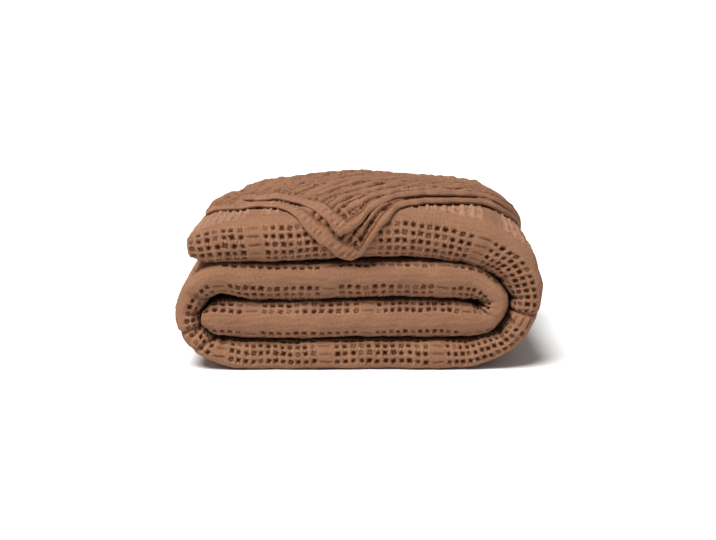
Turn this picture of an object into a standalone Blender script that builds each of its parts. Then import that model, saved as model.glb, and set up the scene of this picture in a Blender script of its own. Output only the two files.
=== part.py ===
"""Waffle-weave cotton blanket, folded lengthwise into an eight-ply strip and coiled flat.

One woven cloth makes one solid. The strip's section is the cloth's real back-and-forth path:
four nested folds along the front, three along the back and two free hems. The section is swept
along the coil, and the two hemmed plies turn forward over the top, where a corner of each
hangs down the front. Metres, +Z up, front towards -Y.
"""

import math

import bmesh
import bpy
import numpy as np
from mathutils import Matrix

MM = 0.001
COTTON_COLOUR = (0.38, 0.2, 0.12, 1.0)
COTTON_ROUGHNESS = 0.95

# The strip: one pile of plies, before the coil squeezes it.
PLIES = 8
PLY_PITCH = 5.9
PLY_THICKNESS = 4.6
DEPTH = 290.0
FRONT_REACH = 20.0
FOLD_SQUARENESS = 2.3
FRONT_FOLD_STEPS = 4
BACK_FOLD_STEPS = 3
BACK_REACHES = {(3, 4): 2.6, (6, 7): 2.6, (5, 8): 8.2}
INNERMOST_REACH = 3.0
NESTED_FOLDS = 3
HEM_INSET = 8.0
CROWN_Y = 55.0

# The two plies turned forward over the top.
TURNED_THICKNESS = 4.0
TURNED_CLEARANCE = 3.4
TENON = 14.0
TENON_THICKNESS = 2.0
TENON_NECK = 4.0
TURNED_BACK_REACH = 4.0
TURNED_BACK_SPACING = 7.0
TURNED_BACK_STEPS = 4
TURNED_TOP_STEPS = 3
TURNED_FRONT_STEPS = 6
TURNED_FRONT = 80.0
LEAST_TOP_SHARE = 0.3
GUIDE_STEPS = 16

# One row for each section of the coil, from the inner end to the outer one. x and z are the
# strip's middle line, heading its direction of travel in degrees, thick the pile's thickness,
# crown its rise at mid-depth, steps the number of sections up to the next row.
COIL_COLUMNS = ("place", "x", "z", "heading", "thick", "crown", "steps")
COIL = [
    ("inner end tip", -190.0, 61.0, 0, 16.0, 0.0, 1),
    ("inner end", -182.0, 61.0, 0, 36.0, 0.0, 1),
    ("inner run, left", -166.0, 61.0, 0, 46.5, 0.0, 2),
    ("inner run, right", 100.0, 61.5, 0, 46.0, 0.0, 1),
    ("inner fold, entry", 139.0, 56.5, 18, 30.0, 0.0, 1),
    ("inner fold, below", 161.0, 62.0, 50, 24.0, 0.0, 2),
    ("inner fold, apex", 171.6, 81.0, 90, 23.0, 0.0, 2),
    ("inner fold, above", 158.0, 101.0, 142, 26.0, 0.0, 1),
    ("inner fold, exit", 126.0, 108.0, 172, 38.0, 0.0, 1),
    ("second run, right", 80.0, 110.0, 180, 46.0, 0.0, 1),
    ("second run, left", -135.0, 108.6, 180, 45.6, 0.0, 2),
    ("left fold, above", -189.5, 102.0, 222, 39.0, 0.0, 2),
    ("left fold, apex", -207.5, 66.0, 270, 31.0, 0.0, 2),
    ("left fold, below", -195.0, 35.0, 316, 26.0, 0.0, 2),
    ("bottom run, left", -150.0, 18.8, 352, 33.0, 0.0, 1),
    ("bottom run, flat from", -118.0, 18.0, 360, 36.0, 0.0, 1),
    ("bottom run, flat to", 104.0, 18.0, 360, 36.0, 0.0, 1),
    ("right fold, entry", 158.0, 25.5, 384, 33.0, 0.0, 2),
    ("right fold, below", 191.0, 48.0, 416, 30.0, 0.0, 2),
    ("right fold, apex", 204.0, 89.0, 450, 37.0, 0.0, 2),
    ("right fold, above", 195.5, 131.0, 472, 42.0, 2.0, 2),
    ("top run, shoulder", 162.0, 152.5, 502, 50.0, 4.0, 2),
    ("top run, right", 105.0, 162.0, 531, 55.0, 11.0, 2),
    ("top run, middle", -10.0, 164.5, 540, 57.0, 17.0, 2),
    ("top run, left", -115.0, 159.5, 543, 53.0, 11.0, 1),
    ("outer end", -172.0, 153.0, 546, 47.0, 3.0, 1),
    ("outer end, round", -194.0, 150.0, 548, 38.0, 1.0, 1),
    ("outer end tip", -205.0, 149.0, 548, 22.0, 0.0, 0),
]


# One row for each section of the turned plies along the top run: the run's x, how far the
# plies stand above the strip, how far each reaches forward from the back fold, and the number
# of sections up to the next row. The longest reach is the corner that hangs down the front.
TURNED_COLUMNS = ("x", "lift", "lower_reach", "upper_reach", "steps")
TURNED = [
    (180.5, 0.0, 112.0, 95.0, 1),
    (162.0, 0.0, 155.0, 135.0, 2),
    (105.0, 0.0, 226.0, 206.0, 3),
    (43.0, 0.0, 279.0, 258.0, 4),
    (-7.0, 0.0, 335.0, 306.0, 1),
    (-21.0, 0.0, 329.0, 311.0, 4),
    (-67.0, 0.0, 289.0, 260.0, 2),
    (-98.0, 0.0, 240.0, 216.0, 1),
    (-125.0, 1.0, 212.0, 200.0, 1),
    (-148.0, 2.0, 196.0, 150.0, 1),
    (-184.0, 4.0, 130.0, 100.0, 0),
]


def rows(columns, table):
    """The table's rows as dictionaries keyed by column name."""
    return [dict(zip(columns, row)) for row in table]


def coil_point(first, second, share):
    """Middle line, heading, thickness and crown at a share of the way between two rows."""
    chord = math.hypot(second["x"] - first["x"], second["z"] - first["z"])
    turn = math.radians(second["heading"] - first["heading"])
    pull = chord * (1.0 + turn * turn / 24.0)
    squared, cubed = share * share, share * share * share
    place = {}
    for axis, slope in (("x", math.cos), ("z", math.sin)):
        leave = pull * slope(math.radians(first["heading"]))
        arrive = pull * slope(math.radians(second["heading"]))
        place[axis] = (
            (2 * cubed - 3 * squared + 1) * first[axis]
            + (cubed - 2 * squared + share) * leave
            + (3 * squared - 2 * cubed) * second[axis]
            + (cubed - squared) * arrive
        )
    for name in ("heading", "thick", "crown"):
        place[name] = first[name] + (second[name] - first[name]) * share
    return place


def filled_in(table, between):
    """The table's rows with the sections between them added, each row's steps giving how many."""
    found = []
    for first, second in zip(table, table[1:]):
        for step in range(first["steps"]):
            found.append(between(first, second, step / first["steps"]))
    found.append(table[-1])
    return found


def evenly(first, second, share):
    """A row a share of the way between two others, in even steps."""
    return {name: first[name] + (second[name] - first[name]) * share for name in first}


def coil_sections():
    """Every section of the coil in order, each a dictionary like a row of the table."""
    return filled_in(rows(COIL_COLUMNS, COIL), coil_point)


def half_round(low, high, reach, start, side, steps):
    """Points of a soft U turn between two heights; side -1 bulges forward, +1 back."""
    middle, half = (low + high) / 2, (high - low) / 2
    power = 2 / FOLD_SQUARENESS
    points = []
    for step in range(steps + 1):
        angle = math.pi * (step / steps - 0.5)
        out = abs(math.cos(angle)) ** power if 0 < step < steps else 0.0
        up = math.copysign(abs(math.sin(angle)) ** power, math.sin(angle))
        points.append((start + side * reach * out, middle + half * up))
    return points


def ply_height(number):
    """Height of a ply's middle above the strip's middle line; ply 1 is the outermost."""
    return ((PLIES + 1) / 2 - number) * PLY_PITCH


def cloth_path():
    """The cloth's own path through the strip's section, hem to hem, as (y, height) points."""
    front, back = -DEPTH / 2, DEPTH / 2
    front_start = front + PLY_THICKNESS / 2 + FRONT_REACH
    back_start = back - max(BACK_REACHES.values()) - PLY_THICKNESS / 2
    path = []

    def across(number, forward):
        steps = (CROWN_Y, -CROWN_Y) if forward else (-CROWN_Y, CROWN_Y)
        path.extend((y, ply_height(number)) for y in steps)

    def turn(first, second, at_front):
        upper, lower = min(first, second), max(first, second)
        nested = (upper, lower)
        if at_front:
            reach = FRONT_REACH - (upper - 1) * (FRONT_REACH - INNERMOST_REACH) / NESTED_FOLDS
            start, side, steps = front_start, -1, FRONT_FOLD_STEPS
        else:
            reach = BACK_REACHES[nested]
            start, side, steps = back_start, 1, BACK_FOLD_STEPS
        points = half_round(ply_height(lower), ply_height(upper), reach, start, side, steps)
        path.extend(points if first == lower else points[::-1])

    hem = back - HEM_INSET
    path.append((hem, ply_height(1)))
    across(1, True)
    turn(1, 8, True)
    across(8, False)
    turn(8, 5, False)
    across(5, True)
    turn(5, 4, True)
    across(4, False)
    turn(4, 3, False)
    across(3, True)
    turn(3, 6, True)
    across(6, False)
    turn(6, 7, False)
    across(7, True)
    turn(7, 2, True)
    across(2, False)
    path.append((hem, ply_height(2)))
    return path


def thickened(path, thickness):
    """The closed outline of a ribbon along an open path; thickness is one size or one a point."""
    points = np.array(path, float)
    along = np.diff(points, axis=0)
    along /= np.linalg.norm(along, axis=1, keepdims=True)
    before = np.vstack([along[:1], along])
    after = np.vstack([along, along[-1:]])
    mitre = before + after
    mitre /= np.linalg.norm(mitre, axis=1, keepdims=True)
    spread = 1.0 / np.maximum((mitre * after).sum(axis=1), 0.6)
    across = np.column_stack([-mitre[:, 1], mitre[:, 0]]) * (spread * thickness / 2)[:, None]
    return np.vstack([points + across, (points - across)[::-1]])


def crown_share(y):
    """How far a point at depth y shares in the section's crown."""
    return np.clip(1 - (np.abs(y) / (DEPTH / 2)) ** 2, 0, 1)


def placed(section, outline):
    """The outline's points in space, squeezed and crowned as this section of the coil is."""
    nominal = PLIES * PLY_PITCH
    heading = math.radians(section["heading"])
    y, height = outline[:, 0], outline[:, 1]
    rise = section["crown"] * crown_share(y) * np.clip(height / nominal + 0.5, 0, 1)
    out = height * section["thick"] / nominal + rise
    x = section["x"] + out * math.sin(heading)
    z = section["z"] - out * math.cos(heading)
    return np.column_stack([x, y, z]) * MM


def turned_path(ply, level, lift, reach, squeeze):
    """A turned ply's path: from inside its strip ply, round the back and forward over the top.

    level is 0 for the ply next to the strip and 1 for the one above it.
    """
    hem = DEPTH / 2 - HEM_INSET
    surface = ply_height(1) + PLY_THICKNESS / 2
    gap = TURNED_CLEARANCE + TURNED_THICKNESS
    above = (TURNED_CLEARANCE + TURNED_THICKNESS / 2 + level * gap + lift) * squeeze
    start, top = ply_height(ply), surface + above
    turn_start = hem + TENON_NECK
    back_reach = TURNED_BACK_REACH + TURNED_BACK_SPACING * level
    back_turn = half_round(start, top, back_reach, turn_start, 1, TURNED_BACK_STEPS)
    front_start = -DEPTH / 2 + PLY_THICKNESS / 2 + FRONT_REACH
    out = PLY_THICKNESS / 2 + TURNED_CLEARANCE + TURNED_THICKNESS / 2 + level * gap
    front_turn = half_round(-top, top, FRONT_REACH + out, front_start, -1, GUIDE_STEPS)[::-1]
    line = np.array([(turn_start, top)] + front_turn)
    along = np.concatenate([[0], np.cumsum(np.linalg.norm(np.diff(line, axis=0), axis=1))])
    before = max(reach - TURNED_FRONT, LEAST_TOP_SHARE * reach)
    stops = np.concatenate(
        [
            np.linspace(0, before, TURNED_TOP_STEPS, endpoint=False),
            np.linspace(before, reach, TURNED_FRONT_STEPS + 1),
        ]
    )[1:]
    forward = [tuple(np.interp(stop, along, line[:, axis]) for axis in (0, 1)) for stop in stops]
    return [(hem - TENON, start), (hem + TENON_NECK / 2, start)] + back_turn + forward


def turned_rings(ply, level, reach_name):
    """Rings of one turned ply, one for each row of its table, on the strip's own sections."""
    sections = [s for s in coil_sections() if s["heading"] >= 450]
    places = np.array([s["x"] for s in sections])
    rings = []
    for row in filled_in(rows(TURNED_COLUMNS, TURNED), evenly):
        after = int(np.argmax(places < row["x"]))
        first, second = sections[after - 1], sections[after]
        share = (row["x"] - first["x"]) / (second["x"] - first["x"])
        thick = first["thick"] + (second["thick"] - first["thick"]) * share
        squeeze = PLIES * PLY_PITCH / thick
        path = turned_path(ply, level, row["lift"] * (1 + level), row[reach_name], squeeze)
        thickness = np.full(len(path), TURNED_THICKNESS)
        thickness[:2] = TENON_THICKNESS
        outline = thickened(path, thickness)
        rings.append(placed(first, outline) * (1 - share) + placed(second, outline) * share)
    return rings


def swept(name, rings):
    """One closed body through ribbon outlines of equal point count, capped at both ends.

    An outline runs out along one side of its ribbon and back along the other, so that each
    cap is a ladder of faces across the ribbon.
    """
    mesh = bmesh.new()
    made = [[mesh.verts.new(point) for point in ring] for ring in rings]
    count = len(made[0])
    for first, second in zip(made, made[1:]):
        for i in range(count):
            j = (i + 1) % count
            mesh.faces.new((first[i], first[j], second[j], second[i]))
    for i in range(count // 2 - 1):
        mesh.faces.new([made[0][k] for k in (i, count - 1 - i, count - 2 - i, i + 1)])
        mesh.faces.new([made[-1][k] for k in (i, i + 1, count - 2 - i, count - 1 - i)])
    bmesh.ops.recalc_face_normals(mesh, faces=mesh.faces)
    data = bpy.data.meshes.new(name)
    mesh.to_mesh(data)
    mesh.free()
    body = bpy.data.objects.new(name, data)
    bpy.context.scene.collection.objects.link(body)
    return body


def cotton():
    """Terracotta-brown cotton, matt."""
    material = bpy.data.materials.new("terracotta cotton")
    material.use_nodes = True
    shader = material.node_tree.nodes["Principled BSDF"]
    shader.inputs["Base Color"].default_value = COTTON_COLOUR
    shader.inputs["Roughness"].default_value = COTTON_ROUGHNESS
    shader.inputs["Metallic"].default_value = 0.0
    return material


def stand_on_origin(objects):
    """Moves the meshes so that the origin is under the middle of the whole blanket."""
    points = np.array([v.co for o in objects for v in o.data.vertices])
    low, high = points.min(axis=0), points.max(axis=0)
    shift = Matrix.Translation((-(low[0] + high[0]) / 2, -(low[1] + high[1]) / 2, -low[2]))
    for o in objects:
        o.data.transform(shift)


def main():
    for existing in list(bpy.data.objects):
        bpy.data.objects.remove(existing, do_unlink=True)
    outline = thickened(cloth_path(), PLY_THICKNESS)
    blanket = swept("blanket", [placed(section, outline) for section in coil_sections()])
    blanket.data.materials.append(cotton())
    turned = []
    for ply, level, reach_name in ((1, 0, "lower_reach"), (2, 1, "upper_reach")):
        form = swept(f"turned_ply_{ply}", turned_rings(ply, level, reach_name))
        form.hide_render = True
        form.display_type = "WIRE"
        turned.append(form)
    stand_on_origin([blanket] + turned)
    for form in turned:
        joined = blanket.modifiers.new(form.name, "BOOLEAN")
        joined.operation = "UNION"
        joined.solver = "EXACT"
        joined.object = form


main()
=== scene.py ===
"""Waffle-weave cotton blanket, folded into a thick strip, coiled flat, its corners turned forward.

The cloth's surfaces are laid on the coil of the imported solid: the outer ply with its front
fold, run by run, the plies nested inside it, and the two hemmed plies over the top. Sizes in
the tables are millimetres in the coil's own frame, with the front towards -Y.
"""

import math

import bpy
import numpy as np
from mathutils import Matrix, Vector


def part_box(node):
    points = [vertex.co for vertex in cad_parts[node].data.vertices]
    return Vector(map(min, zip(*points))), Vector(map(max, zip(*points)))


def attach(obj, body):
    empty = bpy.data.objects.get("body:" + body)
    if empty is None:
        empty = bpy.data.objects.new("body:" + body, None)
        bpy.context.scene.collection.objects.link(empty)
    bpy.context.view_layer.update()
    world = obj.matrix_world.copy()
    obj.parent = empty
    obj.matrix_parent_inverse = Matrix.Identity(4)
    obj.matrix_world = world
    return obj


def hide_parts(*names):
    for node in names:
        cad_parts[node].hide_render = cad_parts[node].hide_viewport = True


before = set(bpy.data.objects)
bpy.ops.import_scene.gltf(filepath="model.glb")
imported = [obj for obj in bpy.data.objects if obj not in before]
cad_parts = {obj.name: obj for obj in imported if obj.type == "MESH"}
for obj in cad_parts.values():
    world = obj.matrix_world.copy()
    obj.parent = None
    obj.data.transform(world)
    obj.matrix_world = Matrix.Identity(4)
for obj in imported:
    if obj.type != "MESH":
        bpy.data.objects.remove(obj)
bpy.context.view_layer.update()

MM = 0.001

# The strip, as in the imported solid.
PLIES = 8
PLY_PITCH = 5.9
PLY_THICKNESS = 4.6
DEPTH = 290.0
FRONT_REACH = 20.0
FOLD_SQUARENESS = 2.3
HEM_INSET = 8.0
NOMINAL = PLIES * PLY_PITCH
OUTER_SHARE = ((PLIES - 1) / 2 * PLY_PITCH + PLY_THICKNESS / 2) / NOMINAL
FRONT_START = -DEPTH / 2 + PLY_THICKNESS / 2 + FRONT_REACH
FRONT_RADIUS = FRONT_REACH + PLY_THICKNESS / 2
HEM_Y = DEPTH / 2 - HEM_INSET
BACK_REACH = 8.2
BACK_FOLD_TOP = -0.11
TUCK = 24.0
BACK_START = DEPTH / 2 - BACK_REACH - PLY_THICKNESS / 2

# Places round the outer ply, as lengths from the foremost point: positive up the outer side.
NOSE = 45.0
QUARTER = 38.0
HEM_S = HEM_Y - FRONT_START + QUARTER
BACK_S = -(BACK_START - FRONT_START + QUARTER)
FOLD_END_S = BACK_S - 36.0
END_S = FOLD_END_S - TUCK

# The folds that the inner plies make, from ply 5 on: the plies, the reach and the side.
INNER_TURNS = (
    (5, 4, 3.0, -1),
    (4, 3, 2.6, 1),
    (3, 6, 8.7, -1),
    (6, 7, 2.6, 1),
    (7, 2, 14.3, -1),
)
COIL_CENTRE = (-0.291, -2.462, 0.496)

# The waffle: cells in blocks, with plain bands between them both ways.
CELL = 10.0
BLOCK_PERIOD = 140.0
PLAIN_BAND = 20.0
PIT_DEPTH = 3.6
PIT_REACH = 0.72
PIT_WANDER = 0.3
PIT_SLANT = 0.25
KNOTTED_FROM = 0.72
KNOT_REACH = 0.3
RIDGE_PROUD = 0.45
TWIST = 0.75
TWIST_PITCH = 4.3
# Painted shade: how much the ridges between the pits, and the raised ribs, darken the colour.
RIDGE_SHADE = 0.22
RAISED_SHADE = 0.12
STREAK_PITCH = 8.3
STREAK_HEIGHT = 0.2
# Painted light: the plain bands' streaks lighter on their ridges and darker in their hollows.
STREAK_SHADE = 0.07
DASH_DEPTH = 1.5
# Painted shade in the sunk dashes across the plain bands.
DASH_SHADE = 0.7
SWELL = 0.7

# The cloth lies on the floor and never goes under this height.
LEAST_HEIGHT = 0.1

# Grid steps of the meshes.
FINE = 1.3
SIDE_FINE = 2.2
COARSE = 24.0
BACK_FINE = 3.0
INNER_FINE = 4.6
TURNED_FINE = 1.85
CLOTH_THICKNESS = 4.6

COIL_COLUMNS = ("place", "x", "z", "heading", "thick", "crown")
COIL = [
    ("inner end tip", -190.0, 61.0, 0, 16.0, 0.0),
    ("inner end", -182.0, 61.0, 0, 36.0, 0.0),
    ("inner run, left", -166.0, 61.0, 0, 46.5, 0.0),
    ("inner run, right", 118.0, 61.5, 0, 46.0, 0.0),
    ("inner fold, entry", 143.0, 61.5, 12, 42.0, 0.0),
    ("inner fold, below", 158.0, 67.5, 50, 34.0, 0.0),
    ("inner fold, apex", 166.5, 82.5, 90, 33.0, 0.0),
    ("inner fold, above", 155.5, 99.0, 142, 34.0, 0.0),
    ("inner fold, exit", 133.0, 107.5, 172, 44.5, 0.0),
    ("second run, right", 80.0, 110.0, 180, 46.0, 0.0),
    ("second run, left", -135.0, 108.6, 180, 45.6, 0.0),
    ("left fold, above", -189.5, 102.0, 222, 39.0, 0.0),
    ("left fold, apex", -207.5, 66.0, 270, 31.0, 0.0),
    ("left fold, below", -195.0, 35.0, 316, 26.0, 0.0),
    ("bottom run, left", -150.0, 18.8, 352, 33.0, 0.0),
    ("bottom run, flat from", -118.0, 18.0, 360, 36.0, 0.0),
    ("bottom run, flat to", 104.0, 18.0, 360, 36.0, 0.0),
    ("right fold, entry", 158.0, 25.5, 384, 33.0, 0.0),
    ("right fold, below", 191.0, 48.0, 416, 30.0, 0.0),
    ("right fold, apex", 204.0, 89.0, 450, 37.0, 0.0),
    ("right fold, above", 188.6, 128.2, 472, 57.0, 2.0),
    ("top run, shoulder", 158.8, 148.4, 502, 60.5, 4.0),
    ("top run, right", 105.0, 161.5, 531, 56.0, 11.0),
    ("top run, middle", -10.0, 164.5, 540, 57.0, 17.0),
    ("top run, left", -115.0, 159.0, 543, 53.0, 9.0),
    ("outer end", -172.0, 151.5, 546, 45.0, 2.0),
    ("outer end, round", -194.0, 148.5, 548, 36.0, 1.0),
    ("outer end tip", -205.0, 147.5, 548, 22.0, 0.0),
]

# Where the plain bands across the strip lie, as a place on the coil (a heading range and the
# coordinate read there) and the cloth's own length there.
BAND_COLUMNS = ("heading_from", "heading_to", "axis", "at", "cloth")
BANDS = [
    (-5, 5, "x", -130.0, 0.0),
    (-5, 12, "x", 11.0, 140.0),
    (165, 185, "x", 103.0, 420.0),
    (165, 195, "x", -35.0, 560.0),
    (180, 225, "x", -171.0, 700.0),
    (325, 362, "x", -168.0, 840.0),
    (350, 365, "x", -40.0, 980.0),
    (355, 370, "x", 98.0, 1120.0),
    (400, 450, "z", 62.0, 1260.0),
    (490, 535, "x", 148.0, 1400.0),
    (525, 560, "x", 13.0, 1540.0),
    (525, 560, "x", -124.0, 1680.0),
]

# How the front fold changes along the coil, each quantity by (heading, size).
# rise: how far up the fold the plain band that runs along the strip lies.
# lean: how far up its outer side the front is foremost, as a share of the half-thickness.
# square: the squareness of the fold.
FRONT_FOLD = {
    "rise": [
        (0, 1.0),
        (180, 8.0),
        (270, 13.0),
        (360, 21.5),
        (450, 26.0),
        (525, 25.5),
        (540, 31.0),
        (548, 35.0),
    ],
    "lean": [
        (0, 0.05),
        (100, 0.1),
        (170, 0.27),
        (200, 0.27),
        (270, 0.1),
        (360, 0.1),
        (470, 0.0),
        (548, 0.0),
    ],
    "square": [(0, 2.3), (300, 2.3), (345, 3.2), (370, 3.2), (420, 2.3), (548, 2.2)],
}


def rows(columns, table):
    """The table's rows as dictionaries keyed by column name."""
    return [dict(zip(columns, row)) for row in table]


def shift():
    """From the coil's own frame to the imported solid's, in millimetres."""
    low, high = (np.array(corner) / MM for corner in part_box("blanket"))
    middle = np.array([(low[0] + high[0]) / 2, (low[1] + high[1]) / 2, low[2]])
    return middle - np.array(COIL_CENTRE)


def smoothed(values, width):
    """Values along an evenly spaced line, softened over a width in samples, ends held."""
    reach = int(3 * width)
    kernel = np.exp(-0.5 * (np.arange(-reach, reach + 1) / width) ** 2)
    padded = np.concatenate(
        [2 * values[0] - values[reach:0:-1], values, 2 * values[-1] - values[-2 : -reach - 2 : -1]]
    )
    return np.convolve(padded, kernel / kernel.sum(), "valid")


def step_between(low, high, value):
    """0 below low, 1 above high, and a soft step between."""
    share = np.clip((value - low) / (high - low), 0, 1)
    return share * share * (3 - 2 * share)


class Coil:
    """The strip's middle line, sampled every millimetre of its length."""

    def __init__(self):
        table = rows(COIL_COLUMNS, COIL)
        share = np.linspace(0, 1, 200, endpoint=False)
        found = {name: [] for name in ("x", "z", "heading", "thick", "crown")}
        for first, second in zip(table, table[1:]):
            chord = math.hypot(second["x"] - first["x"], second["z"] - first["z"])
            turn = math.radians(second["heading"] - first["heading"])
            pull = chord * (1 + turn * turn / 24)
            for axis, slope in (("x", math.cos), ("z", math.sin)):
                leave = pull * slope(math.radians(first["heading"]))
                arrive = pull * slope(math.radians(second["heading"]))
                found[axis].append(
                    (2 * share**3 - 3 * share**2 + 1) * first[axis]
                    + (share**3 - 2 * share**2 + share) * leave
                    + (3 * share**2 - 2 * share**3) * second[axis]
                    + (share**3 - share**2) * arrive
                )
            for name in ("heading", "thick", "crown"):
                found[name].append(first[name] + (second[name] - first[name]) * share)
        found = {name: np.concatenate(parts) for name, parts in found.items()}
        along = np.concatenate(
            [[0], np.cumsum(np.hypot(np.diff(found["x"]), np.diff(found["z"])))]
        )
        self.u = np.arange(0, float(along[-1]), 1.0)
        for name, width in (("x", 4), ("z", 4), ("heading", 5), ("thick", 5), ("crown", 12)):
            even = np.interp(self.u, along, found[name])
            setattr(self, name, smoothed(even, width))
        self.place_cloth()

    def place_cloth(self):
        """The cloth's own length at each sample, from the bands that show across the strip."""
        bands = rows(BAND_COLUMNS, BANDS)
        cloth = [band["cloth"] for band in bands]
        at = [
            self.length_at(band["heading_from"], band["heading_to"], band["axis"], band["at"])
            for band in bands
        ]
        self.cloth = np.interp(self.u, at, cloth)
        self.cloth += np.minimum(self.u - at[0], 0) + np.maximum(self.u - at[-1], 0)
        for name, values in FRONT_FOLD.items():
            headings, sizes = zip(*values)
            setattr(self, name, smoothed(np.interp(self.heading, headings, sizes), 20))

    def at(self, u):
        """Everything about the coil at the given lengths along it."""
        names = ("x", "z", "heading", "thick", "crown", "cloth", "rise", "square", "lean")
        return {name: np.interp(u, self.u, getattr(self, name)) for name in names}

    def length_at(self, heading_from, heading_to, axis, value):
        """The length along the coil where a coordinate takes a value within a range of headings."""
        inside = (self.heading >= heading_from) & (self.heading <= heading_to)
        away = np.abs(getattr(self, axis) - value)
        return float(self.u[int(np.argmin(np.where(inside, away, 1e9)))])


COIL_LINE = Coil()


def crown_share(y):
    return np.clip(1 - (np.abs(y) / (DEPTH / 2)) ** 2, 0, 1)


def uneven(points):
    """Points pushed about a little, the same way wherever they are, as soft cloth settles."""
    x, y, z = points[..., 0], points[..., 1], points[..., 2]
    lift = step_between(4.0, 60.0, z)
    out = points.copy()
    out[..., 1] += 1.6 * np.sin(x / 47.0 + 0.8 + z / 31.0) * np.cos(z / 23.0 + 0.4)
    out[..., 1] += 1.1 * np.sin(x / 21.0 + z / 17.0)
    out[..., 2] += lift * 1.3 * np.sin(x / 39.0 + 1.9 + y / 90.0)
    out[..., 0] += 0.9 * np.sin(z / 27.0 + y / 61.0)
    return out


def in_space(place, y, height):
    """Section points (stations by points) in space. height is measured from the middle line."""
    half = place["thick"][:, None] / 2
    heading = np.radians(place["heading"])[:, None]
    rise = place["crown"][:, None] * crown_share(y) * np.clip(height / (2 * half) + 0.5, 0, 1)
    out = height + rise
    x = place["x"][:, None] + out * np.sin(heading)
    z = place["z"][:, None] - out * np.cos(heading)
    return uneven(np.stack([x, y, z], axis=-1))


def scatter(i, j, seed):
    """An even spread of numbers from 0 to 1, one for each whole-number cell."""
    value = np.sin(i * 127.1 + j * 311.7 + seed * 74.7) * 43758.5453
    return value - np.floor(value)


def cells(along, across):
    """The waffle cell at each place: its two whole numbers, the place in it from -1 to 1 both
    ways, pulled about and slanted a little, and how far it is from the cell's middle."""
    i, j = np.floor(along / CELL), np.floor(across / CELL)
    p = 2 * (along / CELL - i) - 1 + PIT_WANDER * (scatter(i, j, 5.0) - 0.5)
    q = 2 * (across / CELL - j) - 1 + PIT_WANDER * (scatter(i, j, 6.0) - 0.5)
    p = p + PIT_SLANT * q * (scatter(i, j, 9.0) - 0.2)
    return i, j, p, q, np.hypot(p, q)


def blocks(along, across):
    """How far each place lies in a block of cells and not in a plain band, each way."""
    inside = []
    for value in (along, across):
        place = np.mod(value, BLOCK_PERIOD)
        edge = np.minimum(place, BLOCK_PERIOD - place)
        inside.append(step_between(PLAIN_BAND / 2 - 0.6, PLAIN_BAND / 2 + 1.2, edge))
    return inside


def plain_relief(along, across, band):
    """The cloth's relief apart from its cells: the streaks of its plain bands, and soft swells."""
    streak = np.sin(
        2 * np.pi * (across + 2.0 * np.sin(along / 37.0)) / STREAK_PITCH
        + 1.6 * np.sin(along / 21.0)
        + np.sin(along / 9.3 + across / 5.0)
    )
    height = 0.22 * band * np.sin(2 * np.pi * across / 3.7 + np.sin(along / 9.0))
    height = height + STREAK_HEIGHT * band * streak
    swell = np.sin(along / 17.0 + 0.7) * np.sin(across / 13.0 + along / 41.0)
    height = height + SWELL * swell + 0.35 * np.sin(along / 6.1 + across / 8.3)
    fine = np.sin(along / 2.7 + np.sin(across / 3.7)) * np.sin(across / 2.3)
    return height + 0.25 * fine, streak


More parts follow.
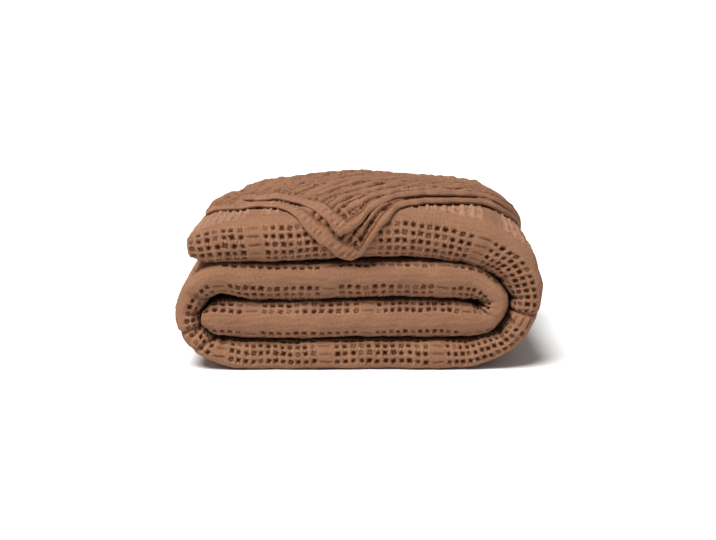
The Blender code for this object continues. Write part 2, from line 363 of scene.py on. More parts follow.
def waffle(along, across, shallow=0.0, ribbed=0.0):
    """The waffle at cloth coordinates: its height, and its painted shade, from 0 to 1.

    The painted shade darkens the pits, the dashes across the plain bands and the ridges, and
    follows the streaks of the plain bands; below 0 the second is painted highlight, how far up a
    ridge top a place is. shallow pulls the pits flat between raised ribs that run across the
    strip, and ribbed draws them out into furrows that run along the cloth.
    """
    plain_along, plain_across = along, across
    along = along + 0.7 * np.sin(across / 7.3 + 1.0) + 0.5 * np.sin(along / 23.0 + across / 19.0)
    across = across + 0.6 * np.sin(along / 8.9) + 0.7 * np.sin(across / 27.0 + along / 31.0)
    inside = blocks(along, across)
    block = inside[0] * inside[1]
    i, j, p, q, radius = cells(along, across)
    corner = np.cos(4 * (np.arctan2(q, p) + 0.7 * (scatter(i, j, 3.0) - 0.5)))
    reach = PIT_REACH + 0.14 * (scatter(i, j, 7.0) - 0.5) - 0.17 * scatter(i, j, 4.0) * corner
    hollow = 1 - step_between(reach - 0.5, reach + 0.28, radius)
    furrow = step_between(0.35, 0.95, 1 - np.abs(q)) * (0.75 + 0.25 * np.cos(np.pi * p))
    hollow = hollow + ribbed * (furrow - hollow)
    deep = 0.72 + 0.42 * scatter(i, j, 2.0)
    knot = 0.9 * np.exp(-((radius / KNOT_REACH) ** 2)) * (scatter(i, j, 1.0) > KNOTTED_FROM)
    pit = hollow * (deep - knot) * block

    # Loose dashes of yarn cross the plain bands, sunk in, with painted shade in them.
    across_gap = np.mod(along + BLOCK_PERIOD / 2, BLOCK_PERIOD) - BLOCK_PERIOD / 2
    length = 1 - step_between(5.0, 9.5, np.abs(across_gap))
    dashes = length * inside[1] * (1 - step_between(0.1, 0.42, np.abs(q)))
    dashes = dashes * (0.45 + 0.55 * scatter(np.floor(along / BLOCK_PERIOD + 0.5), j, 8.0))

    twist = np.sin(2 * np.pi * (along + 0.8 * across) / TWIST_PITCH + 2.2 * np.sin(across / 3.1))
    twist = twist * (0.5 + 0.5 * np.sin(along / 2.9 + across / 5.3))
    ridge = block * (1 - hollow)
    height = -PIT_DEPTH * pit * (1 - 0.6 * shallow) - DASH_DEPTH * dashes
    height = height + 0.8 * (1 - inside[0]) * inside[1] * (1 - np.abs(across_gap) / 12)
    height = height + ridge * (RIDGE_PROUD + TWIST * twist)
    rib = np.exp(-(((1 - np.abs(p)) / 0.3) ** 2))
    bar = np.exp(-(((1 - np.abs(q)) / 0.35) ** 2))
    height = height + shallow * block * (2.0 * rib + 0.9 * bar - 0.7)
    band = 1 - inside[1]
    puff = np.cos(np.pi * np.mod(across + BLOCK_PERIOD / 2, BLOCK_PERIOD) / BLOCK_PERIOD)
    height = height + 0.5 * band * (1 - np.abs(puff))
    plain, streak = plain_relief(plain_along, plain_across, band)
    height = height + plain

    # Painted highlight: lighter colour on the ridge tops and raised ribs.
    painted_highlight = ridge * np.clip(0.4 + 0.9 * twist, 0, 1)
    painted_highlight = painted_highlight + shallow * block * np.maximum(rib * 0.45, bar * 0.25)
    # Painted shade: darker in the pits and dashes, on the ridges and raised ribs, and along the
    # streaks.
    painted_shade = step_between(0.12 - 0.12 * ribbed, 0.85 - 0.35 * ribbed, pit)
    painted_shade = painted_shade * (1 - 0.5 * shallow) + DASH_SHADE * dashes
    shade = RIDGE_SHADE * (1 - shallow) * (1 - 0.5 * ribbed) + RAISED_SHADE * shallow
    painted_shade = painted_shade + shade * ridge - STREAK_SHADE * band * streak
    return height, np.clip(painted_shade, 0, 1) - np.clip(painted_highlight, 0, 1)


def outer_outline(half, square, lean, s):
    """The outer ply's face at signed arc lengths s from the foremost point, up the outer side.

    half, square and lean are the strip's half-thickness and its front fold's squareness and
    lean at each station. On the inner side the face runs on round the back fold and a little
    way into the next ply. Gives y and height.
    """
    angle = np.linspace(-np.pi / 2, np.pi / 2, 161)
    y, height = np.empty((len(half), len(s))), np.empty((len(half), len(s)))
    for i, h in enumerate(half):
        power = 2 / square[i]
        up = np.abs(np.sin(angle)) ** power * np.sign(angle)
        leant = np.abs(up - lean[i] * (1 - up * up))
        front = np.clip(1 - leant ** square[i], 0, 1) ** (1 / square[i])
        front_y = FRONT_START - FRONT_RADIUS * front
        per_ply = h / OUTER_SHARE / PLIES
        low, high = -h, per_ply * BACK_FOLD_TOP
        back_up = (low + high) / 2 + (high - low) / 2 * up
        back = np.clip(np.cos(angle), 0, 1) ** power
        back_y = BACK_START + (BACK_REACH + PLY_THICKNESS / 2) * back
        path_y = np.concatenate([[BACK_START - TUCK], back_y[::-1], front_y, [HEM_Y]])
        path_h = np.concatenate([[high], back_up[::-1], h * up, [h]])
        arc = np.concatenate([[0], np.cumsum(np.hypot(np.diff(path_y), np.diff(path_h)))])
        arc -= arc[1 + len(angle) + len(angle) // 2]
        own = (arc[0], arc[len(angle)], -NOSE, NOSE, arc[-1])
        real = np.interp(s, (END_S, BACK_S, -NOSE, NOSE, HEM_S), own)
        y[i] = np.interp(real, arc, path_y)
        height[i] = np.interp(real, arc, path_h)
    return y, height


def outward(y, height):
    """Unit normals of section outlines run from the outer side to the front and back."""
    dy = np.gradient(y, axis=1)
    dh = np.gradient(height, axis=1)
    size = np.maximum(np.hypot(dy, dh), 1e-9)
    return dh / size, -dy / size


def stops(*parts):
    """Values through (from, to, step) parts, each evenly spaced, ends shared."""
    found = [np.array([parts[0][0]])]
    for start, end, step in parts:
        count = max(1, int(math.ceil(abs(end - start) / step)))
        found.append(np.linspace(start, end, count + 1)[1:])
    return np.concatenate(found)


def new_mesh(name, grid, uv, deep):
    """A closed tube of cloth through a grid of rings, capped at both ends by ladders."""
    stations, count = grid.shape[:2]
    index = np.arange(stations * count).reshape(stations, count)
    ahead = np.roll(index, -1, axis=1)
    quads = np.stack([index[:-1], ahead[:-1], ahead[1:], index[1:]], axis=-1).reshape(-1, 4)
    i = np.arange(count // 2 - 1)
    ladder = np.stack([i, count - 1 - i, count - 2 - i, i + 1], axis=-1)
    quads = np.concatenate([quads, index[0][ladder], index[-1][ladder[:, ::-1]]])
    points = grid.reshape(-1, 3)
    a, b, c, d = (points[quads[:, k]] for k in range(4))
    volume = np.sum(a * np.cross(b, c)) + np.sum(a * np.cross(c, d))
    if volume < 0:
        quads = quads[:, ::-1]
    mesh = bpy.data.meshes.new(name)
    mesh.vertices.add(len(points))
    placed = points + shift()
    placed[:, 2] = np.maximum(placed[:, 2], LEAST_HEIGHT)
    mesh.vertices.foreach_set("co", (placed * MM).ravel())
    mesh.loops.add(quads.size)
    mesh.loops.foreach_set("vertex_index", quads.ravel())
    mesh.polygons.add(len(quads))
    mesh.polygons.foreach_set("loop_start", np.arange(0, quads.size, 4))
    mesh.update(calc_edges=True)
    mesh.shade_smooth()
    edges = np.empty(quads.size, int)
    mesh.loops.foreach_get("edge_index", edges)
    sharp = np.zeros(len(mesh.edges), bool)
    sharp[edges[-8 * len(ladder) :]] = True
    mesh.attributes.new("sharp_edge", "BOOLEAN", "EDGE").data.foreach_set("value", sharp)
    layer = mesh.uv_layers.new(name="cloth")
    layer.data.foreach_set("uv", (uv.reshape(-1, 2)[quads.ravel()] * MM).ravel())
    # The pit attribute holds painted shade above 0 and painted highlight below 0, for the colour.
    attribute = mesh.attributes.new("pit", "FLOAT", "POINT")
    attribute.data.foreach_set("value", deep.ravel())
    piece = bpy.data.objects.new(name, mesh)
    bpy.context.scene.collection.objects.link(piece)
    return piece


# Creases pressed into the front fold: the coil's length they cross, measured from the
# start of the fold named, how far round the front they run, their lean, width and depth.
CREASE_COLUMNS = ("heading", "shift", "from_s", "to_s", "lean", "width", "depth")
CREASES = [
    (240, 0.0, -34.0, 14.0, 0.25, 4.5, 3.5),
    (268, 0.0, -38.0, 0.0, 0.1, 4.0, 3.0),
    (294, 0.0, -42.0, 20.0, -0.05, 2.4, 6.5),
    (306, 0.0, -40.0, 6.0, 0.25, 3.5, 4.5),
    (320, 3.0, -40.0, 16.0, -0.35, 2.8, 6.0),
    (338, 4.0, -34.0, 0.0, 0.2, 4.0, 3.5),
    (36, 0.0, -42.0, -14.0, 0.2, 3.0, 3.0),
    (58, 0.0, -42.0, 2.0, 0.25, 2.6, 3.5),
    (80, 0.0, -42.0, -4.0, 0.0, 2.4, 3.5),
    (104, 0.0, -42.0, 0.0, -0.1, 2.4, 3.5),
    (128, 0.0, -42.0, -10.0, -0.25, 2.6, 3.0),
    (150, 0.0, -42.0, -14.0, -0.3, 3.0, 3.0),
    (402, 0.0, -40.0, 0.0, -0.25, 4.5, 4.0),
    (421, 0.0, -42.0, -6.0, -0.2, 4.0, 4.5),
    (436, 0.0, -44.0, 24.0, 0.05, 2.3, 7.0),
    (452, 0.0, -42.0, -8.0, 0.15, 4.0, 4.0),
    (470, 0.0, -42.0, -14.0, 0.2, 5.0, 4.0),
    (492, 0.0, -40.0, -16.0, -0.2, 6.0, 3.0),
]


def creased(u, s):
    """How far the listed creases sink the cloth at coil lengths u and section places s."""
    sink = np.zeros((len(u), len(s)))
    for crease in rows(CREASE_COLUMNS, CREASES):
        centre = np.interp(crease["heading"], COIL_LINE.heading, COIL_LINE.u) + crease["shift"]
        line = centre + crease["lean"] * s[None, :]
        near = np.exp(-(((u[:, None] - line) / crease["width"]) ** 2))
        ends = step_between(crease["from_s"] - 8, crease["from_s"] + 6, s)
        ends = ends * (1 - step_between(crease["to_s"] - 16, crease["to_s"] + 12, s))
        sink += crease["depth"] * near * ends[None, :]
    return sink


def outer_ply(name, start, end, outside, step):
    """The outer ply over a stretch of the coil: its hem, the front, and round the back fold.

    outside says how far up the outer side the waffle is worked from the front.
    """
    count = max(2, int(round((end - start) / step)) + 1)
    u = np.linspace(start, end, count)
    place = COIL_LINE.at(u)
    half = place["thick"] * OUTER_SHARE
    zones = [
        (HEM_S, outside, COARSE),
        (outside, NOSE, SIDE_FINE),
        (NOSE, -NOSE, step),
        (-NOSE, BACK_S + 16, COARSE),
        (BACK_S + 16, FOLD_END_S, BACK_FINE),
        (FOLD_END_S, END_S, 8.0),
    ]
    s = stops(*[zone for zone in zones if zone[0] > zone[1]])
    y, height = outer_outline(half, place["square"], place["lean"], s)
    ny, nh = outward(y, height)
    b = s[None, :] - place["rise"][:, None]
    along = place["cloth"][:, None] + 0 * b
    over_top = step_between(465, 500, place["heading"])[:, None]
    # deep is the waffle's painted shade, and below 0 its painted highlight.
    relief, deep = waffle(along, b, shallow=over_top * step_between(8, 22, b))
    worked = np.ones(len(s)) if outside >= HEM_S else step_between(0, 12, outside - s)
    worked = worked * (
        step_between(-NOSE, -NOSE + 10, s)
        + step_between(-BACK_S - 16, -BACK_S - 8, -s) * step_between(0, 8, s - FOLD_END_S)
    )
    room = np.clip(place["thick"] / NOMINAL, 0.3, 1)[:, None]
    nose = 1 - step_between(24, 36, np.abs(s))[None, :]
    room = room + (1 - room) * nose
    relief = relief * worked * room
    deep = deep * worked
    hidden = room * CLOTH_THICKNESS + 0 * b
    sink = creased(u, s)
    face = in_space(place, y + ny * (relief - sink), height + nh * (relief - sink))
    chosen = kept_stops(s)
    under = in_space(place, y - ny * (hidden + sink), height - nh * (hidden + sink))
    grid = np.concatenate([face, under[:, chosen]], axis=1)
    uv = np.stack([along, b], axis=-1)
    uv = np.concatenate([uv, uv[:, chosen]], axis=1)
    deep = np.concatenate([deep, deep[:, chosen] * 0], axis=1)
    piece = new_mesh(name, grid, uv, deep)
    finish_cloth(piece)


def kept_stops(s, apart=7.5):
    """Indices of the stops kept on a ply's hidden face, last to first."""
    keep = [len(s) - 1]
    for i in range(len(s) - 2, 0, -1):
        if abs(s[i] - s[keep[-1]]) >= apart:
            keep.append(i)
    keep.append(0)
    return np.array(keep)


def half_round(low, high, reach, start, side, steps):
    """Points of a soft U turn between two heights; side -1 bulges forward, +1 back."""
    angle = np.linspace(-np.pi / 2, np.pi / 2, steps + 1)
    power = 2 / FOLD_SQUARENESS
    up = np.abs(np.sin(angle)) ** power * np.sign(angle)
    y = start + side * reach * np.clip(np.cos(angle), 0, 1) ** power
    return np.column_stack([y, (low + high) / 2 + (high - low) / 2 * up])


def ply_height(number):
    """Height of a ply's middle above the strip's middle line; ply 1 is the outermost."""
    return ((PLIES + 1) / 2 - number) * PLY_PITCH


def line_lengths(line):
    return np.concatenate([[0], np.cumsum(np.linalg.norm(np.diff(line, axis=0), axis=1))])


def inner_line():
    """The cloth's middle line through the inner plies, from ply 5 to the hem of ply 2."""
    parts = [np.array([(BACK_START - TUCK - 4.0, ply_height(5))])]
    for first, second, reach, side in INNER_TURNS:
        lower, upper = max(first, second), min(first, second)
        start = FRONT_START if side < 0 else BACK_START
        turn = half_round(ply_height(lower), ply_height(upper), reach, start, side, 12)
        parts.append(turn if first == lower else turn[::-1])
    parts.append(np.array([(HEM_Y, ply_height(2))]))
    return np.concatenate(parts)


def inner_plies(name, start, end):
    """The plies nested inside the outer one over a stretch of the coil."""
    line = inner_line()
    arc = line_lengths(line)
    at = [0.0]
    while at[-1] < arc[-1]:
        y, height = (np.interp(at[-1], arc, line[:, axis]) for axis in (0, 1))
        shows = y > HEM_Y - 24 and height > 0
        turning = y > HEM_Y - 34 or y < FRONT_START + 12
        at.append(at[-1] + (INNER_FINE if shows else 4.0 if turning else COARSE))
    at[-1] = arc[-1]
    at = np.array(at)
    y, height = (np.interp(at, arc, line[:, axis]) for axis in (0, 1))
    ny, nh = outward(y[None, :], height[None, :])
    u = np.linspace(start, end, max(2, int(round((end - start) / INNER_FINE)) + 1))
    place = COIL_LINE.at(u)
    squeeze = (place["thick"] / NOMINAL)[:, None]
    along = place["cloth"][:, None] + 0 * y
    b = at[None, :] + 0 * along
    # deep is the waffle's painted shade, and below 0 its painted highlight.
    relief, deep = waffle(along, b)
    shows = step_between(HEM_Y - 22, HEM_Y - 14, y)[None, :]
    relief, deep = relief * shows * 0.7, deep * shows
    half = PLY_THICKNESS / 2
    out = half + relief
    face = in_space(place, y + ny * out, (height + nh * out) * squeeze)
    under = in_space(place, y - ny * half + 0 * along, (height - nh * half) * squeeze)
    grid = np.concatenate([face, under[:, ::-1]], axis=1)
    uv = np.stack([along, b], axis=-1)
    uv = np.concatenate([uv, uv[:, ::-1]], axis=1)
    deep = np.concatenate([deep, deep * 0], axis=1)
    piece = new_mesh(name, grid, uv, deep)
    finish_cloth(piece)


# The turned plies along the top run, as in the solid.
TURNED_COLUMNS = ("x", "lower_reach", "upper_reach")
TURNED = [
    (198.5, 34.0, 26.0),
    (180.5, 106.0, 92.0),
    (162.0, 155.0, 135.0),
    (105.0, 226.0, 206.0),
    (43.0, 279.0, 258.0),
    (-7.0, 335.0, 306.0),
    (-21.0, 329.0, 311.0),
    (-67.0, 289.0, 260.0),
    (-98.0, 240.0, 216.0),
    (-125.0, 212.0, 200.0),
    (-148.0, 196.0, 150.0),
    (-184.0, 130.0, 100.0),
    (-199.0, 122.0, 90.0),
]
TURNED_CLEARANCE = 1.2
TURNED_THICKNESS = 4.0
TURNED_GAP = TURNED_CLEARANCE + TURNED_THICKNESS
TURNED_COVER = 1.8
SETTLED = 0.3
THIN_EDGE = 0.35
EDGE_ROUND = 3.2
TURN_START = HEM_Y + 4.0
BACK_ROUND = 36.0
# The corners' edges run at about 45 degrees to the strip.
EDGE_SLOPE = 0.71
LEFT_HEM = 15.0
RIGHT_HEM = 8.5
STITCH_DEPTH = 2.4
# Painted shade in the sunk stitch lines.
STITCH_SHADE = 0.8
PLEAT_PITCH = 19.0
PLEAT_HEIGHT = 2.2
# Painted light: how much lighter the pleats' tops and darker their troughs are made.
PLEAT_SHADE = 0.55

# The turned corners: ply, how many plies lie under it, the corner's x and reach, and the
# directions of its two edges as (x, reach) for each step away from the corner.
CORNER_COLUMNS = ("name", "ply", "level", "reach", "x", "tip", "left", "right", "left_end")
CORNERS = [
    ("turned_lower", 1, 0, "lower_reach", -6.0, 335.0, (-0.69, -0.72), (0.72, -0.69), -197.0),
    ("turned_upper", 2, 1, "upper_reach", -19.0, 312.0, (-0.71, -0.70), (0.73, -0.68), -151.0),
]


def turned_corner(corner):
    """One hemmed corner of the cloth: up the back, forward over the top and down the front."""
    table = rows(TURNED_COLUMNS, TURNED)
    row_x = [row["x"] for row in table][::-1]
    wide = table[0]["x"] - corner["left_end"]
    x = np.linspace(table[0]["x"], corner["left_end"], int(wide / TURNED_FINE) + 1)
    reach = np.interp(x, row_x, [row[corner["reach"]] for row in table][::-1])
    reach = reach + 1.1 * np.sin(x / 4.7 + corner["level"]) + 0.7 * np.sin(x / 2.6)
    reach = reach + np.sin(x / 11.0)
    on_top = COIL_LINE.heading > 450
    u = np.interp(-x, -COIL_LINE.x[on_top], COIL_LINE.u[on_top])
    place = COIL_LINE.at(u)
    place["x"] = x
    squeeze = NOMINAL / place["thick"]
    level = corner["level"]
    surface = ply_height(1) + PLY_THICKNESS / 2
    count = int(max(reach) / TURNED_FINE)
    share = np.arange(1, count + 1) / count
    round_steps = 16
    shape = (len(x), round_steps + 1 + count)
    y, height = np.empty(shape), np.empty(shape)
    out = PLY_THICKNESS / 2 + TURNED_CLEARANCE + TURNED_THICKNESS / 2 + level * TURNED_GAP
    settle = SETTLED + (1 - SETTLED) * step_between(0, 30, x[0] - x)
    for i in range(len(x)):
        above = (TURNED_CLEARANCE + TURNED_THICKNESS / 2 + level * TURNED_GAP) * settle[i]
        top = surface + above * squeeze[i]
        start = ply_height(corner["ply"])
        back = half_round(start, top, 4.0 + 7.0 * level, TURN_START, 1, round_steps)
        front = half_round(-top, top, FRONT_REACH + out, FRONT_START, -1, 60)[::-1]
        line = np.concatenate([[(TURN_START, top)], front])
        stop = np.interp(share * reach[i], line_lengths(line), np.arange(len(line)))
        for values, axis in ((y, 0), (height, 1)):
            values[i, : round_steps + 1] = back[:, axis]
            values[i, round_steps + 1 :] = np.interp(stop, np.arange(len(line)), line[:, axis])
    behind = np.append(np.linspace(-BACK_ROUND, 0, round_steps + 1), np.zeros(count))
    ahead = behind + np.append(np.zeros(round_steps + 1), share) * reach[:, None]
    away_x = x[:, None] - corner["x"]
    away_s = ahead - corner["tip"]
    (lx, ls), (rx, rs) = corner["left"], corner["right"]
    cross = rx * ls - rs * lx
    from_left = (away_x * ls - away_s * lx) / cross
    from_right = (rx * away_s - rs * away_x) / cross
    to_edge = reach[:, None] - ahead
    edge = to_edge * EDGE_SLOPE
    side = step_between(-7.0, 7.0, away_x)
    near_edge = 1 - step_between(22.0, 44.0, to_edge)
    from_left = from_left + near_edge * (1 - side) * (edge - from_left)
    from_right = from_right + near_edge * side * (edge - from_right)
    # deep is the hem's painted shade, and below 0 its painted highlight.
    relief, deep, thin = hemmed(from_left, from_right, edge)
    relief, thin = relief * settle[:, None], thin * settle[:, None]
    scale = (place["thick"] / NOMINAL)[:, None]
    dy, dh = np.gradient(y, axis=1), np.gradient(height, axis=1) * scale
    size = np.maximum(np.hypot(dy, dh), 1e-9)
    ny, nh = dh / size, -dy / size
    half = TURNED_THICKNESS / 2 * thin
    outer = half + relief + TURNED_COVER * np.maximum(thin - THIN_EDGE, 0)
    face = in_space(place, y + ny * outer, height * scale + nh * outer)
    under = in_space(place, y - ny * half, height * scale - nh * half)
    chosen = np.unique(np.append(np.arange(0, shape[1], 3), shape[1] - 1))[::-1]
    grid = np.concatenate([face, under[:, chosen]], axis=1)
    uv = np.stack([from_left, from_right], axis=-1)
    uv = np.concatenate([uv, uv[:, chosen]], axis=1)
    deep = np.concatenate([deep, deep[:, chosen] * 0], axis=1)
    piece = new_mesh(corner["name"], grid, uv, deep)
    finish_cloth(piece)


def hemmed(from_left, from_right, edge):
    """A hemmed corner's relief, painted shade (painted highlight below 0) and thinning at its
    edges.
    """
    inside = step_between(LEFT_HEM - 1, LEFT_HEM + 3, from_left)
    inside = inside * step_between(RIGHT_HEM - 1, RIGHT_HEM + 3, from_right)
    ribbed = 0.2 + 0.7 * step_between(26, 60, from_left + from_right)
    relief, deep = waffle(from_left + 48.0, from_right + 52.0, ribbed=ribbed)
    pleat = np.sin(2 * np.pi * from_right / PLEAT_PITCH + 0.9 * np.sin(from_left / 47.0))
    pleat = pleat * (0.7 + 0.3 * np.sin(from_left / 19.0 + from_right / 31.0))
    pleat = pleat * step_between(10, 40, from_left)
    relief = (1.6 * relief + PLEAT_HEIGHT * pleat) * inside
    # Painted light and shade: lighter on the pleats' tops, darker in their troughs.
    deep = (1.5 * deep - PLEAT_SHADE * pleat) * inside

    # The stitch lines sink in, puckered, with painted shade along them, and between them and the
    # edge the hem swells.
    stitch_left = np.exp(-(((from_left - LEFT_HEM) / 1.8) ** 2)) * (from_right > RIGHT_HEM)
    stitch_right = np.exp(-(((from_right - RIGHT_HEM) / 1.4) ** 2)) * (from_left > LEFT_HEM)
    pucker = 0.6 + 0.4 * np.sin(2 * np.pi * from_right / 5.3)
    pucker_right = 0.6 + 0.4 * np.sin(2 * np.pi * from_left / 4.6)
    relief = relief - STITCH_DEPTH * (stitch_left * pucker + stitch_right * pucker_right)
    on_left = np.clip(1 - ((from_left - LEFT_HEM / 2) / (LEFT_HEM / 2)) ** 2, 0, 1)
    on_right = np.clip(1 - ((from_right - RIGHT_HEM / 2) / (RIGHT_HEM / 2)) ** 2, 0, 1)
    relief = relief + 0.6 * on_left ** 0.5
    relief = relief + 1.9 * on_right ** 0.5 * (from_left > LEFT_HEM / 2)
    gather = np.sin(
        2 * np.pi * (from_right + 0.3 * from_left) / 6.3 + 2.0 * np.sin(from_right / 9.0)
    )
    gather = gather * (0.65 + 0.35 * np.sin(from_left / 2.1 + from_right / 3.3))
    relief = relief + 1.5 * on_left * gather * (0.5 + 0.5 * np.sin(from_right / 13.0) ** 2)
    relief = relief + 0.4 * on_left * np.sin(2 * np.pi * from_left / 5.0 + from_right / 7.0)
    deep = np.maximum(deep, STITCH_SHADE * (stitch_left * pucker + stitch_right))
    # Painted light and shade: lighter on the gathers' ridges, darker between them.
    deep = deep - 0.7 * on_left * gather
    near = np.clip(edge / EDGE_ROUND, 0, 1)
    thin = THIN_EDGE + (1 - THIN_EDGE) * np.sqrt(1 - (1 - near) ** 2)
    return relief * near, np.clip(deep, -1, 1) * near, thin


def add_group(name, inputs, outputs):
    """An empty shader node group with named sockets, and its in and out nodes."""
    group = bpy.data.node_groups.new(name, "ShaderNodeTree")
    for title, kind, value in inputs:
        socket = group.interface.new_socket(title, in_out="INPUT", socket_type=kind)
        if value is not None:
            socket.default_value = value
    for title, kind in outputs:
        group.interface.new_socket(title, in_out="OUTPUT", socket_type=kind)
    enter = group.nodes.new("NodeGroupInput")
    leave = group.nodes.new("NodeGroupOutput")
    enter.location, leave.location = (-900, 0), (700, 0)
    return group, enter, leave


def feed(tree, socket, value):
    """A constant set on a socket, or another node's output linked to it."""
    if isinstance(value, (int, float, tuple)):
        socket.default_value = value
    else:
        tree.links.new(value, socket)


def math_node(tree, operation, *values):
    node = tree.nodes.new("ShaderNodeMath")
    node.operation = operation
    for socket, value in zip(node.inputs, values):
        feed(tree, socket, value)
    return node.outputs[0]


def mix_colour(tree, share, first, second):
    node = tree.nodes.new("ShaderNodeMix")
    node.data_type = "RGBA"
    for index, value in ((0, share), (6, first), (7, second)):
        feed(tree, node.inputs[index], value)
    return node.outputs[2]


def noise_node(tree, where, scale, detail, roughness=0.5):
    node = tree.nodes.new("ShaderNodeTexNoise")
    node.inputs["Scale"].default_value = scale
    node.inputs["Detail"].default_value = detail
    node.inputs["Roughness"].default_value = roughness
    tree.links.new(where, node.inputs["Vector"])
    return node.outputs["Fac"]


def spun_cotton():
    """The yarn of the cloth: its colour, uneven as dyed cotton is, with painted shade between the
    threads and in the pits and folds and painted highlight on the ridge tops, and its threads'
    height.
    """
    group, enter, leave = add_group(
        "spun cotton",
        [
            ("Cloth", "NodeSocketVector", None),
            ("Colour", "NodeSocketColor", (0.4, 0.2, 0.13, 1.0)),
            ("Painted Shade Colour", "NodeSocketColor", (0.2, 0.08, 0.05, 1.0)),
            ("Painted Highlight Colour", "NodeSocketColor", (0.5, 0.3, 0.2, 1.0)),
            ("Painted Shade and Highlight", "NodeSocketFloat", 0.0),
            ("Yarns per Metre", "NodeSocketFloat", 620.0),
        ],
        [("Colour", "NodeSocketColor"), ("Height", "NodeSocketFloat")],
    )
    links = group.links
    cloth = enter.outputs["Cloth"]
    dye = noise_node(group, cloth, 26.0, 4.0)
    lint = noise_node(group, cloth, 430.0, 5.0, 0.7)
    threads = []
    for direction in ("X", "Y"):
        wave = group.nodes.new("ShaderNodeTexWave")
        wave.bands_direction = direction
        wave.inputs["Distortion"].default_value = 1.6
        wave.inputs["Detail"].default_value = 1.0
        wave.inputs["Detail Scale"].default_value = 1.4
        scale = math_node(group, "MULTIPLY", enter.outputs["Yarns per Metre"], 0.5)
        links.new(scale, wave.inputs["Scale"])
        links.new(cloth, wave.inputs["Vector"])
        threads.append(wave.outputs["Fac"])
    weave = math_node(group, "MAXIMUM", threads[0], threads[1])
    tone = math_node(group, "MULTIPLY_ADD", dye, 0.34, 0.83)
    fleck = math_node(group, "MULTIPLY_ADD", lint, 1.4, 0.32)
    # Painted shade: darker between the threads, where the weave's height is low.
    between = math_node(group, "MULTIPLY_ADD", weave, 0.22, 0.82)
    shade = math_node(group, "MULTIPLY", math_node(group, "MULTIPLY", tone, fleck), between)
    relief = enter.outputs["Painted Shade and Highlight"]
    # Painted shade where the pit attribute is above 0, and painted highlight where it is below.
    hollow = math_node(group, "MAXIMUM", relief, 0.0)
    painted_highlight = math_node(group, "MAXIMUM", math_node(group, "MULTIPLY", relief, -1.0), 0.0)
    colour = mix_colour(group, painted_highlight, enter.outputs["Colour"], enter.outputs["Painted Highlight Colour"])
    colour = mix_colour(group, hollow, colour, enter.outputs["Painted Shade Colour"])
    scaled = group.nodes.new("ShaderNodeVectorMath")
    scaled.operation = "SCALE"
    links.new(colour, scaled.inputs[0])
    links.new(shade, scaled.inputs["Scale"])
    links.new(scaled.outputs[0], leave.inputs["Colour"])
    links.new(math_node(group, "MULTIPLY_ADD", lint, 0.8, weave), leave.inputs["Height"])
    return group


YARN = spun_cotton()
CLOTH_COLOUR = (0.33, 0.163, 0.092, 1.0)
# Painted highlight: the lighter colour for the ridge tops and raised ribs.
CREST_HIGHLIGHT_COLOUR = (0.5, 0.275, 0.175, 1.0)
# Painted shade: the near-black colour mixed in for the pits, dashes, stitch lines, pleats and
# ridges.
PIT_SHADE_COLOUR = (0.075, 0.017, 0.003, 1.0)


def cotton_material(name, colour, hollow, painted_highlight):
    material = bpy.data.materials.new(name)
    material.use_nodes = True
    tree = material.node_tree
    shader = tree.nodes["Principled BSDF"]
    shader.inputs["Roughness"].default_value = 0.95
    shader.inputs["Specular IOR Level"].default_value = 0.06
    shader.inputs["Sheen Weight"].default_value = 0.05
    shader.inputs["Sheen Roughness"].default_value = 0.6
    shader.inputs["Sheen Tint"].default_value = (0.95, 0.72, 0.58, 1.0)
    where = tree.nodes.new("ShaderNodeUVMap")
    where.uv_map = "cloth"
    # The pit attribute paints shade and highlight into the colour.
    pit = tree.nodes.new("ShaderNodeAttribute")
    pit.attribute_name = "pit"
    yarn = tree.nodes.new("ShaderNodeGroup")
    yarn.node_tree = YARN
    yarn.inputs["Colour"].default_value = colour
    yarn.inputs["Painted Shade Colour"].default_value = hollow
    yarn.inputs["Painted Highlight Colour"].default_value = painted_highlight
    tree.links.new(where.outputs["UV"], yarn.inputs["Cloth"])
    tree.links.new(pit.outputs["Fac"], yarn.inputs["Painted Shade and Highlight"])
    tree.links.new(yarn.outputs["Colour"], shader.inputs["Base Color"])
    bump = tree.nodes.new("ShaderNodeBump")
    bump.inputs["Strength"].default_value = 0.8
    bump.inputs["Distance"].default_value = 0.0011
    tree.links.new(yarn.outputs["Height"], bump.inputs["Height"])
    tree.links.new(bump.outputs["Normal"], shader.inputs["Normal"])
    return material


WAFFLE_COTTON = cotton_material(
    "terracotta waffle cotton", CLOTH_COLOUR, PIT_SHADE_COLOUR, CREST_HIGHLIGHT_COLOUR
)


def finish_cloth(piece):
    """Dresses a stretch of the cloth in the cotton, parents it to the root body and hides the
    imported blanket.
    """
    piece.data.materials.append(WAFFLE_COTTON)
    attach(piece, "root")
    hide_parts("blanket")


def floor_material():
    material = bpy.data.materials.new("pale floor")
    material.use_nodes = True
    shader = material.node_tree.nodes["Principled BSDF"]
    shader.inputs["Roughness"].default_value = 0.9
    shader.inputs["Base Color"].default_value = (0.86, 0.86, 0.86, 1.0)
    shader.inputs["Specular IOR Level"].default_value = 0.1
    return material


# Metres: wide enough that its far edge is out of sight.
FLOOR_SIZE = 400.0


def add_floor():
    mesh = bpy.data.meshes.new("floor")
    corner = FLOOR_SIZE / 2
    mesh.from_pydata(
        [(-corner, -corner, 0), (corner, -corner, 0), (corner, corner, 0), (-corner, corner, 0)],
        [],
        [(0, 1, 2, 3)],
    )
    floor = bpy.data.objects.new("floor", mesh)
    bpy.context.scene.collection.objects.link(floor)
    mesh.materials.append(floor_material())


FILL = 0.28
KEY = 5.0
KEY_WIDTH = 32.0
KEY_FROM = (-0.36, -0.47, 1.25)


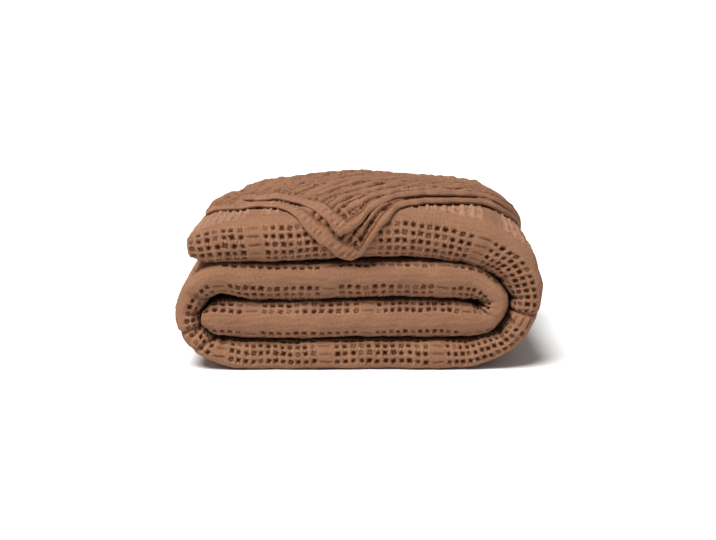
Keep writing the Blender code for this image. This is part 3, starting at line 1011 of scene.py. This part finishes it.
def add_light():
    """A broad soft light from above, in front and a little to the left, and an even fill."""
    world = bpy.data.worlds.new("studio")
    bpy.context.scene.world = world
    world.use_nodes = True
    background = world.node_tree.nodes["Background"]
    background.inputs["Color"].default_value = (1.0, 1.0, 1.0, 1.0)
    background.inputs["Strength"].default_value = FILL
    data = bpy.data.lights.new("key", "SUN")
    data.energy = KEY
    data.angle = math.radians(KEY_WIDTH)
    light = bpy.data.objects.new("key", data)
    light.rotation_euler = Vector(KEY_FROM).to_track_quat("Z", "Y").to_euler()
    bpy.context.scene.collection.objects.link(light)
    bpy.context.scene.view_settings.view_transform = "Standard"


# The camera stands straight in front of the blanket and looks a little down at it. Its frame
# is FRAME_WIDTH millimetres wide at the blanket's front.
ELEVATION = 11.0
CAMERA_DISTANCE = 1700.0
FRAME_WIDTH = 859.2
SENSOR = 36.0
AIM = (-0.3, -145.0, 125.2)


def add_camera():
    data = bpy.data.cameras.new("camera")
    data.sensor_width = SENSOR
    data.lens = SENSOR * CAMERA_DISTANCE / FRAME_WIDTH
    data.clip_end = 1000.0
    camera = bpy.data.objects.new("camera", data)
    angle = math.radians(ELEVATION)
    aim = np.array(AIM) + shift()
    place = aim + CAMERA_DISTANCE * np.array([0, -math.cos(angle), math.sin(angle)])
    camera.location = place * MM
    camera.rotation_euler = (math.pi / 2 - angle, 0, 0)
    bpy.context.scene.collection.objects.link(camera)
    bpy.context.scene.camera = camera


def make_blanket():
    inner_fold = COIL_LINE.length_at(90, 200, "x", 100.0)
    left_fold = COIL_LINE.length_at(170, 230, "x", -120.0)
    bottom = COIL_LINE.length_at(300, 365, "x", -130.0)
    right_fold = COIL_LINE.length_at(360, 400, "x", 120.0)
    top_run = COIL_LINE.length_at(480, 548, "x", 60.0)
    last = float(COIL_LINE.u[-1])
    outer_ply("inner_run", 0.0, inner_fold, 60.0, FINE)
    outer_ply("second_run", inner_fold, left_fold, 60.0, FINE)
    outer_ply("left_fold", left_fold, bottom, HEM_S, FINE)
    outer_ply("bottom_run", bottom, right_fold, 60.0, FINE)
    outer_ply("right_fold", right_fold, top_run, HEM_S, FINE)
    outer_ply("top_run", top_run, last, HEM_S, FINE)
    middle = 0.5 * (left_fold + bottom)
    inner_plies("inner_plies_first", 0.0, middle)
    inner_plies("inner_plies_second", middle, last)
    for corner in rows(CORNER_COLUMNS, CORNERS):
        turned_corner(corner)


add_floor()
add_light()
add_camera()
make_blanket()
